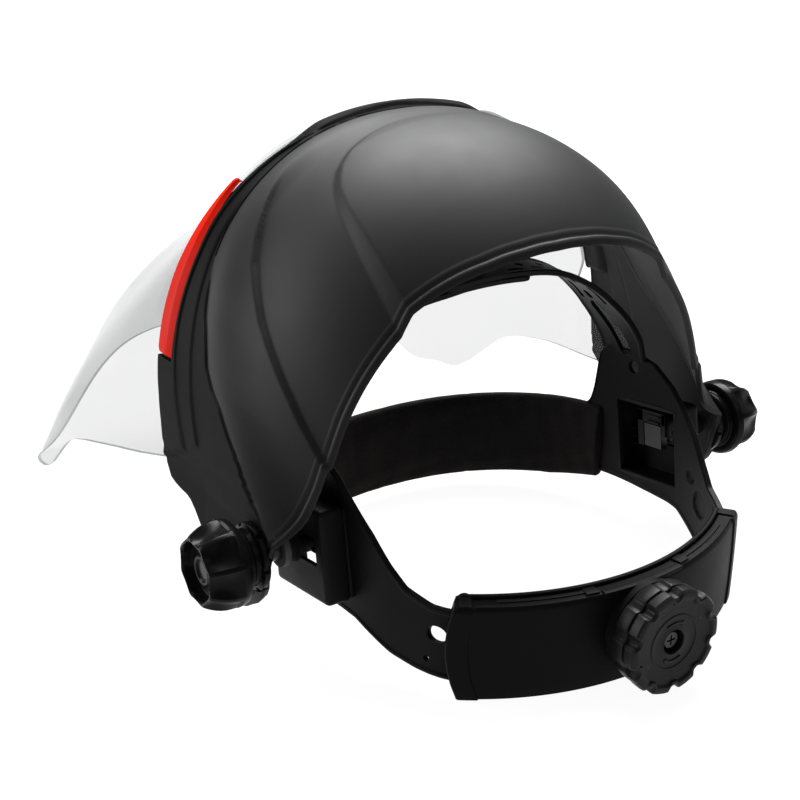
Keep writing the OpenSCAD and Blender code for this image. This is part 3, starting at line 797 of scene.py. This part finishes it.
def strap(name, s, d):
    a = np.linspace(12, 104, 190)
    rows = []
    for t in a:
        c, h = strap_c(t)
        c, h = float(c), float(h)
        if t > 98:
            h = h * math.sqrt(max(0.05, 1 - ((t - 98) / 6.3) ** 2))
        v = np.r_[-1, -1 + 0.6 / h, -1 + 1.4 / h, -1 + 2.2 / h, np.linspace(-1 + 3.2 / h, 1 - 3.2 / h, 20), 1 - 2.2 / h, 1 - 1.4 / h, 1 - 0.6 / h, 1]
        e = (1 - np.abs(v)) * h
        bead = 0.5 * sm((2.4 - e) / 0.6) - 0.5 * sm((0.6 - e) / 0.6)
        bead = bead * float(sm((88 - t) / 8))
        tr = math.radians(t)
        n = np.array([math.cos(tr), math.sin(tr)])
        for k, off in ((0, d + 1.0 + bead), (1, d - 1.0 - bead)):
            x = (96 + off * 0) * np.abs(math.cos(tr)) ** (2 / 2.3) * np.sign(math.cos(tr)) + n[0] * off
            z = 20 + 79 * abs(math.sin(tr)) ** (2 / 2.3) + n[1] * off
            rows.append(np.c_[x * s, c + v * h, z])
    R = np.array(rows).reshape(len(a), 2, -1, 3)
    o, _ = solid(name, R[:, 0], R[:, 1], M_HARN, 40)

    def pt(t, y, off):
        tr = math.radians(t)
        return np.array([s * (96 * sp(math.cos(tr), 2 / 2.3) + math.cos(tr) * off), y, 20 + 79 * abs(math.sin(tr)) ** (2 / 2.3) + math.sin(tr) * off])

    def slot(t0, y0, t1, y1, w):
        """rounded slot between two points of the strap, w mm wide"""
        A, B = pt(t0, y0, 0), pt(t1, y1, 0)
        ax = (B - A) / np.linalg.norm(B - A)
        tm = math.radians((t0 + t1) / 2)
        nn = np.array([s * math.cos(tm) * 79, 0, math.sin(tm) * 96])
        nn = nn - ax * nn.dot(ax)
        nn /= np.linalg.norm(nn)
        sd = np.cross(ax, nn)
        ang = np.linspace(-math.pi / 2, math.pi / 2, 9)
        ring = [B + ax * math.cos(q) * w / 2 + sd * math.sin(q) * w / 2 for q in ang] + [A - ax * math.cos(q) * w / 2 - sd * math.sin(q) * w / 2 for q in ang]
        cut(o, cutter(([p - nn * 9 for p in ring], [p + nn * 9 for p in ring])))

    slot(15.5, -17.5, 31.5, -29.0, 9.2)
    slot(36, -37, 46, -36, 2.8)
    slot(37.5, -18.5, 47, -20, 2.8)
    slot(38.5, -29, 40.5, -29, 4.6)
    for k in range(5 if s > 0 else 4):
        t = 50 + k * 9
        c = float(strap_c(t)[0])
        slot(t, c, t + 0.1, c, 4.4)
        slot(t + 2.5, c - 7.5, t + 6.2, c - 7.3, 2.2)
        slot(t + 2.5, c + 7.5, t + 6.2, c + 7.5, 2.2)
    tidy(o, 32)
    return o


put(strap("crown_strap_l", 1, -2.5), "harness", "harness_black", "crown_strap_left")
put(strap("crown_strap_r", -1, -0.1), "harness", "harness_black", "crown_strap_right")


# ------------------------------------------------------------------ sweatband
def sweatband():
    a = np.radians(np.linspace(14, 166, 150))
    m = 48
    rows = []
    rng = np.random.RandomState(4)
    ph = rng.uniform(0, 6.28, 12)
    for k, t in enumerate(a):
        c = np.array([96 * sp(math.cos(t), 2 / 2.2), -5 - 97 * abs(math.sin(t)) ** (2 / 2.2)])
        n = np.array([math.cos(t) / 96, -math.sin(t) / 97])
        n /= np.linalg.norm(n)
        y = c[1]
        bot = np.interp(y, [-102, -60, -30, -18], [-43.5, -39.5, -33, -31])
        top = np.interp(y, [-102, -60, -45, -30, -18], [2.5, 6.0, 6.5, 6.5, 6.5])
        q = np.linspace(0, 2 * math.pi, m, endpoint=False)
        zz = (top + bot) / 2 + (top - bot) / 2 * sp(np.sin(q), 0.62)
        th = 3.9 * sp(np.cos(q), 0.55)
        wr = 0.22 * np.sin(9 * q + 7 * t + ph[0]) + 0.25 * np.sin(31 * t + 2 * q + ph[1]) + 0.18 * np.sin(53 * t - 3 * q + ph[2])
        th = th + wr * np.abs(np.cos(q))
        off = -0.6 + th
        # sewn seams across the band
        for sa in (62, 90, 118, 36, 144):
            d = abs(math.degrees(t) - sa)
            off = off - 0.55 * np.sign(th) * math.exp(-(d / 0.55) ** 2)
        slant = (zz - (top + bot) / 2) / (top - bot)
        rows.append(np.c_[c[0] + n[0] * off, c[1] + n[1] * off, zz])
    R = np.array(rows)
    o = tube("sweatband_pad", R, M_CLOTH, 60)
    return o


pad = sweatband()
sub = pad.modifiers.new("s", "SUBSURF")
sub.levels = sub.render_levels = 1
bake(pad)
tidy(pad, 70)
put(pad, "harness", "sweatband_cloth", "sweatband")


# ------------------------------------------------------------------ rear housing
def arc_strip(name, prof, half, mat, ends, y0=-25.0, n=150):
    """Sweep a closed (radius, z) profile round the vertical axis; ends(t, r, z) may adjust it near the two ends."""
    A = np.linspace(-half, half, n)
    edge = 0.9
    q = np.linspace(3.85, 4.2, 4)
    A = np.unique(np.r_[A, -half + np.linspace(0, edge, 5), half - np.linspace(0, edge, 5), -half + q, half - q])
    R = []
    for t in A:
        tr = math.radians(t)
        ring = []
        for r, z in prof:
            rr, zz = ends(t, r, z)
            t2 = tr + math.copysign(math.radians(2.3 * (1 - ((z + 24) / 24.5) ** 2) * float(sm((abs(t) - 27) / 7))), t)
            ring.append((rr * math.sin(t2), y0 + rr * math.cos(t2), zz))
        R.append(ring)
    return tube(name, np.array(R), mat, 30)


def rounded(pts, rad=0.7, seg=3):
    """Round the corners of a closed 2D outline."""
    out = []
    k = len(pts)
    for i in range(k):
        p, a, b = np.array(pts[i], float), np.array(pts[i - 1], float), np.array(pts[(i + 1) % k], float)
        r = min(rad, np.linalg.norm(a - p) * 0.45, np.linalg.norm(b - p) * 0.45)
        u, v = (a - p) / np.linalg.norm(a - p), (b - p) / np.linalg.norm(b - p)
        for s in np.linspace(0, 1, seg + 1):
            out.append(tuple((1 - s) ** 2 * (p + u * r) + 2 * s * (1 - s) * p + s * s * (p + v * r)))
    return out


def rear_outer():
    prof = rounded([(130.5, -48.2), (130.5, -41), (130.5, -34), (130.5, -27), (130.5, -20), (130.5, -13), (130.5, -6.2), (129.6, -4.0), (123.3, -4.0), (123.3, -6.3), (128.0, -6.4), (128.0, -13), (128.0, -20), (128.0, -27), (128.0, -34), (128.0, -41), (128.0, -45.9), (123.3, -45.9), (123.3, -48.2)], 0.6)
    H = 37.2

    def ends(t, r, z):
        e = (H - abs(t)) * 2.27      # mm from the end
        if r > 129:
            r = r + 0.9 * float(sm((9.4 - e) / 0.5)) - 0.7 * float(sm((0.7 - e) / 0.7))
        return r, z
    o = arc_strip("rear_housing_outer", prof, H, M_REAR, ends)
    bore(o, 1, (0, -23.6), 5.4, 100, 108)       # pinion hub
    # vertical collar behind the ratchet knob
    n, m = 96, 0
    rz = -23.6
    pr = [(12.2, 103.6), (20.0, 103.6), (21.0, 104.6), (21.0, 108.9), (20.2, 109.6), (17.7, 109.6), (17.7, 106.0), (12.2, 106.0)]
    ang = np.linspace(0, 2 * math.pi, n, endpoint=False)
    R = np.array([[(r * math.cos(a), y, rz + r * math.sin(a)) for r, y in pr] for a in ang])
    F = quads(n, len(pr), wrap_i=True, wrap_j=True)
    c = mk("c", R.reshape(-1, 3), F, M_REAR, 30)
    join_into(o, [c])
    # raised guide rails along the top edge and a clip plate at the middle
    def rail(r0, r1, z0, z1, h0, h1):
        p = rounded([(r1, z0), (r1, z1), (r0, z1), (r0, z0)], 0.3, 2)
        A = np.linspace(h0, h1, 60)
        Rg = np.array([[(r * math.sin(math.radians(t)), -25 + r * math.cos(math.radians(t)), z) for r, z in p] for t in A])
        return tube("r", Rg, M_REAR, 30)
    join_into(o, [rail(127.2, 130.9, -4.9, -3.2, -9.5, 9.5), rail(124.2, 126.6, -4.2, -3.4, -30, -11), rail(124.2, 126.6, -4.2, -3.4, 11, 30),
                  rail(123.6, 128.8, -4.4, -3.0, 10.2, 12.8), rail(123.6, 128.8, -4.4, -3.0, -12.8, -10.2)])
    return o


def rear_inner():
    prof = rounded([(122.9, -48.2), (122.9, -38), (122.9, -30), (122.9, -20), (122.9, -10), (122.9, -2.6), (120.6, -2.6), (120.6, -10), (120.6, -20), (120.6, -30), (120.6, -38), (120.6, -48.2)], 0.8)
    H = 37.2

    def ends(t, r, z):
        e = (H - abs(t)) * 2.2
        if r < 121.6:
            r = r - 0.8 * float(sm((5.0 - e) / 0.5))
        cutc = float(sm((3.0 - e) / 3.0))
        z = z + (1.6 * cutc if z < -25 else -1.6 * cutc)
        return r, z
    o = arc_strip("rear_housing_inner", prof, H, M_REAR, ends)
    bore(o, 1, (0, -23.6), 4.4, 92, 99.9)       # pinion pin
    return tidy(o, 38) or o


put(rear_outer(), "rear_unit", "harness_black", "rear_cover_outer")
put(rear_inner(), "rear_unit", "harness_black", "rear_cover_inner")


def end_caps(s):
    """Block that closes the housing's end round the sliding strip."""
    out = []
    H = 37.2
    for (r0, r1, z0, z1, d) in [(120.9, 130.3, -48.0, -43.9, 0), (120.9, 130.3, -7.6, -3.2, 0), (126.9, 130.3, -44, -7.5, 0), (120.9, 123.4, -44, -7.5, 0)]:
        p = rounded([(r1, z0), (r1, z1), (r0, z1), (r0, z0)], 0.5, 2)
        A = np.linspace(H - 2.4, H - 0.15, 6) * s
        Rg = np.array([[(r * math.sin(math.radians(t)), -25 + r * math.cos(math.radians(t)), z) for r, z in p] for t in A])
        out.append(tube("cap", Rg, M_REAR, 30))
    o = out[0]
    join_into(o, out[1:])
    o.name = "housing_end_" + ("left" if s > 0 else "right")
    return o


put(end_caps(1), "rear_unit", "harness_black")
put(end_caps(-1), "rear_unit", "harness_black")


# ------------------------------------------------------------------ knobs
def lobed(name, prof, lobes, centre, axis, mat, phase=0.0, n=240, flat=0.35, sharp=26, sgn=1, scoop=0.0):
    """Solid of revolution with finger lobes. prof: (radius, distance along axis, lobe depth)."""
    ang = np.linspace(0, 2 * math.pi, n, endpoint=False)
    R = []
    for r, x, dep in prof:
        c = np.cos(lobes * ang + phase)
        # broad lobes with narrow scooped valleys
        val = np.clip((c * -1 - flat) / (1 - flat), 0, 1)
        rr = r - dep * sm(val)
        if scoop:      # broad hollow facets with crisp edges between narrow ridges
            q = (ang * lobes / (2 * math.pi) + phase) % 1.0 - 0.5
            rr = r - dep * np.clip(1 - (q / (0.5 * scoop)) ** 2, 0, 1)
        if axis == "x":
            R.append(np.c_[np.full(n, centre[0] + sgn * x), centre[1] + rr * np.cos(ang), centre[2] + rr * np.sin(ang)])
        else:
            R.append(np.c_[centre[0] + rr * np.cos(ang), np.full(n, centre[1] + x), centre[2] + rr * np.sin(ang)])
    R = np.array(R)
    F = quads(len(prof), n, wrap_i=True, wrap_j=True)
    return mk(name, R.reshape(-1, 3), F, mat, sharp)


def side_knob(s):
    # closed loop of rings: bore, back face, skirt, lobed body, front face, dish, boss
    P = [(4.15, 137.0, 0), (13.6, 137.0, 0), (14.6, 137.6, 0), (14.8, 139.4, 0), (15.2, 140.0, 0), (17.6, 140.3, 0), (18.8, 141.0, 0), (19.4, 142.6, 0), (19.6, 144.2, 0.1),
         (19.6, 144.9, 1.4), (19.6, 146.2, 2.0), (19.5, 148.5, 2.6), (19.0, 151.0, 3.1), (18.2, 153.4, 3.4), (17.2, 155.6, 3.2), (16.2, 157.4, 2.5), (15.4, 158.5, 1.7), (14.7, 159.0, 1.1), (13.9, 158.9, 0.6),
         (13.2, 158.0, 0.2), (12.7, 155.0, 0.1), (12.1, 153.9, 0), (8.0, 153.5, 0), (7.3, 153.7, 0), (6.9, 155.6, 0), (6.4, 156.1, 0), (5.2, 156.1, 0), (4.8, 155.7, 0), (4.5, 155.3, 0), (4.15, 155.2, 0)]
    o = lobed("side_knob_" + ("l" if s > 0 else "r"), [(r, x, d) for r, x, d in P], 8, (0, 0, 0), "x", M_KNOB, phase=0.55, n=320, sharp=20, sgn=s, scoop=0.86)
    return o


put(side_knob(1), "knob_left", "knob_black", "side_knob_left")
put(side_knob(-1), "knob_right", "knob_black", "side_knob_right")


def collar(s):
    """Pressure collar: a disc with six coin-edge notches and a narrower neck."""
    n = 192
    ang = np.linspace(0, 2 * math.pi, n, endpoint=False)
    notch = sm((np.cos(6 * ang) - 0.80) / 0.08)
    P = [(4.2, 130.45, 0), (14.9, 130.45, 0), (15.4, 130.9, 1), (15.4, 132.8, 1), (15.0, 133.3, 1), (13.6, 133.5, 0), (13.0, 133.9, 0), (13.0, 136.1, 0), (12.6, 136.6, 0), (4.2, 136.6, 0)]
    R = []
    for r, x, d in P:
        rr = r - 1.5 * notch * d
        R.append(np.c_[np.full(n, s * x), rr * np.cos(ang), rr * np.sin(ang)])
    R = np.array(R)
    return mk("collar_disc_" + ("l" if s > 0 else "r"), R.reshape(-1, 3), quads(len(P), n, True, True), M_KNOB, 30)


put(collar(1), "pivot_carriage", "knob_black", "collar_left")
put(collar(-1), "pivot_carriage", "knob_black", "collar_right")


def ratchet():
    rz = -23.6
    P = [(1.85, 110.4, 0), (16.6, 110.2, 0), (22.2, 110.6, 0.6), (23.2, 111.4, 1.0), (23.6, 113.0, 1.2), (23.7, 117.0, 1.4), (23.5, 118.0, 1.5), (22.6, 118.4, 1.6), (22.3, 119.0, 1.6), (23.7, 119.4, 2.3), (24.1, 120.2, 2.5),
         (24.2, 122.6, 2.6), (24.1, 124.3, 2.6), (23.5, 125.2, 2.6), (22.4, 125.6, 2.4), (20.8, 125.5, 1.8), (20.3, 125.1, 1.6), (19.4, 124.6, 1.0), (13.2, 124.2, 0), (12.8, 124.5, 0), (12.2, 124.5, 0), (11.8, 124.1, 0), (11.0, 124.0, 0), (6.6, 124.0, 0), (5.9, 124.2, 0),
         (5.5, 123.8, 0), (5.3, 119.6, 0), (1.85, 119.4, 0)]
    o = lobed("ratchet_dial", P, 10, (0, 0, rz), "y", M_RATCH, phase=0.4, n=480, flat=0.12, sharp=24)
    # generic turn marks: two raised arcs with arrow ends
    def arc_mark(a0, a1, r, w=0.7):
        A = np.radians(np.linspace(a0, a1, 40))
        p = rounded([(r + w / 2, 124.45), (r - w / 2, 124.45), (r - w / 2, 123.7), (r + w / 2, 123.7)], 0.2, 2)
        R = np.array([[(q[0] * math.cos(t), q[1], rz + q[0] * math.sin(t)) for q in p] for t in A])
        return tube("m", R, M_RATCH, 30)
    marks = [arc_mark(55, 150, 16.0), arc_mark(235, 330, 16.0), arc_mark(62, 118, 9.0, 0.9), arc_mark(242, 298, 9.0, 0.9)]
    for a0, r, dr in ((150, 16.0, 1), (330, 16.0, 1), (118, 9.0, 1), (298, 9.0, 1)):
        t = math.radians(a0)
        tip = np.array([r * math.cos(t + 0.12), 124.4, rz + r * math.sin(t + 0.12)])
        l = np.array([(r - 1.3) * math.cos(t - 0.03), 124.4, rz + (r - 1.3) * math.sin(t - 0.03)])
        q = np.array([(r + 1.3) * math.cos(t - 0.03), 124.4, rz + (r + 1.3) * math.sin(t - 0.03)])
        dn = np.array([0, -0.7, 0])
        marks.append(mk("m", np.array([tip, l, q, tip + dn, l + dn, q + dn]), [[0, 1, 2], [3, 5, 4], [0, 3, 4, 1], [1, 4, 5, 2], [2, 5, 3, 0]], M_RATCH, 30))
    join_into(o, marks)
    return o


put(ratchet(), "ratchet", "knob_satin", "ratchet_knob")

def disc(x0, x1, r0, r1, mat, s, bev=0.3, k=72):
    p = rounded([(r1, x0), (r1, x1), (r0, x1), (r0, x0)], bev, 2)
    ang = np.linspace(0, 2 * math.pi, k, endpoint=False)
    R = np.array([[(s * x, r * math.cos(t), r * math.sin(t)) for r, x in p] for t in ang])
    return mk("d", R.reshape(-1, 3), quads(k, len(p), True, True), mat, 30)


def carriage(s):
    rot = math.radians(8)
    X = lambda a, b: (min(a * s, b * s), max(a * s, b * s))
    B = lambda x0, x1, *q: box_mesh("b", *X(x0, x1), *q, M_HARN, 0.4, 2, rot)
    parts = [B(103.4, 105.6, -11, 8.5, 3.0, 13), B(98.8, 103.3, -11, -6.5, -6.5, 13), B(98.8, 103.3, 6.5, 9.5, 1.0, 13), B(98.8, 103.3, -11, 9.5, 6.6, 13),
             B(107.9, 110.2, -8.3, 3.6, -5.8, 5.8)] + [B(97.6, 99.4, -3, 6, k * 3.4 + 7.0, k * 3.4 + 8.2) for k in range(2)]
    parts += [disc(103.4, 116.4, 4.25, 5.4, M_HARN, s), disc(110.6, 116.2, 5.3, 7.2, M_HARN, s), disc(112.2, 113.2, 7.0, 8.2, M_HARN, s, 0.2)]
    for q in parts:
        tidy(q, 30)
    o = parts[0]
    join_into(o, parts[1:])
    o.name = "slide_block_" + ("l" if s > 0 else "r")
    return o


put(carriage(1), "pivot_carriage", "harness_black", "carriage_left")
put(carriage(-1), "pivot_carriage", "harness_black", "carriage_right")
for side, nm in ((1, "left"), (-1, "right")):
    q = disc(116.8, 119.9, 5.1, 8.6, M_RUBBER, side)
    q.name = "thin_washer_" + nm
    put(q, "pivot_carriage", "washer_dark", "friction_washer_" + nm)

# ------------------------------------------------------------------ CAD nodes that stay, with better materials
KEEP = {"pivot_bolt_left": M_OXIDE, "pivot_bolt_right": M_OXIDE, 
        "knob_nut_left": M_BRASS, "knob_nut_right": M_BRASS, "crown_strap_pegs": M_HARN, "visor_pegs": M_HARN,
        "cover_screws": M_STEEL, "rack_left": M_HARN, "rack_right": M_HARN, "pinion": M_GEAR, "knob_screw": M_OXIDE, "knob_washer": M_RUBBER, "detent_spring": M_STEEL}
for k, m in KEEP.items():
    ob = N[k]
    for sl in ob.material_slots:
        sl.material = m
    if not ob.material_slots:
        ob.data.materials.append(m)

# ------------------------------------------------------------------ camera, floor, lights
cam_d = bpy.data.cameras.new("camera")
cam_d.sensor_width = 36.0
cam_d.lens = 65.77
cam = bpy.data.objects.new("camera", cam_d)
scene.collection.objects.link(cam)
right = Vector((-0.8361, 0.5486, 0)).normalized()
fwd = Vector((-0.5063, -0.7716, -0.3851)).normalized()
up = right.cross(fwd).normalized()
cm = Matrix((right, up, -fwd)).transposed().to_4x4()
cm.translation = Vector((0.3832, 0.4995, 0.3046)) + Vector(PIV)
cam.matrix_world = cm
scene.camera = cam

fm = bpy.data.materials.new("floor_white")
fm.use_nodes = True
fb = fm.node_tree.nodes["Principled BSDF"]
fb.inputs["Base Color"].default_value = (0.1, 0.1, 0.1, 1)
fb.inputs["Roughness"].default_value = 0.7
fb.inputs["Specular IOR Level"].default_value = 0.1
fb.inputs["Emission Color"].default_value = (1, 1, 1, 1)
fb.inputs["Emission Strength"].default_value = 0.95
bm = bmesh.new()
bmesh.ops.create_grid(bm, x_segments=2, y_segments=2, size=12)
fme = bpy.data.meshes.new("floor")
bm.to_mesh(fme)
bm.free()
floor = bpy.data.objects.new("floor", fme)
floor.location = (0, 0, float(cad_lo[2]) - 0.0005)
scene.collection.objects.link(floor)
fme.materials.append(fm)

w = bpy.data.worlds.new("world")
scene.world = w
w.use_nodes = True
w.node_tree.nodes["Background"].inputs["Color"].default_value = (0.95, 0.97, 1.0, 1)
w.node_tree.nodes["Background"].inputs["Strength"].default_value = 0.2


def area(name, pos, target, sx, sy, power):
    d = bpy.data.lights.new(name, "AREA")
    d.shape = "RECTANGLE"
    d.size, d.size_y = sx, sy
    d.energy = power
    ob = bpy.data.objects.new(name, d)
    scene.collection.objects.link(ob)
    ob.location = pos
    ob.rotation_euler = (Vector(target) - Vector(pos)).to_track_quat("-Z", "Y").to_euler()
    return ob


c0 = Vector((0, 0.02, 0.12))
area("top_back", c0 + Vector((-0.60, -0.85, 1.55)), c0, 1.6, 1.1, 150)
area("left_side", c0 + Vector((1.35, -1.05, 0.45)), c0, 0.8, 1.2, 34)
area("fill", c0 + Vector((-0.4, 2.2, 1.9)), c0, 1.2, 1.2, 5)
scene.view_settings.view_transform = "Standard"
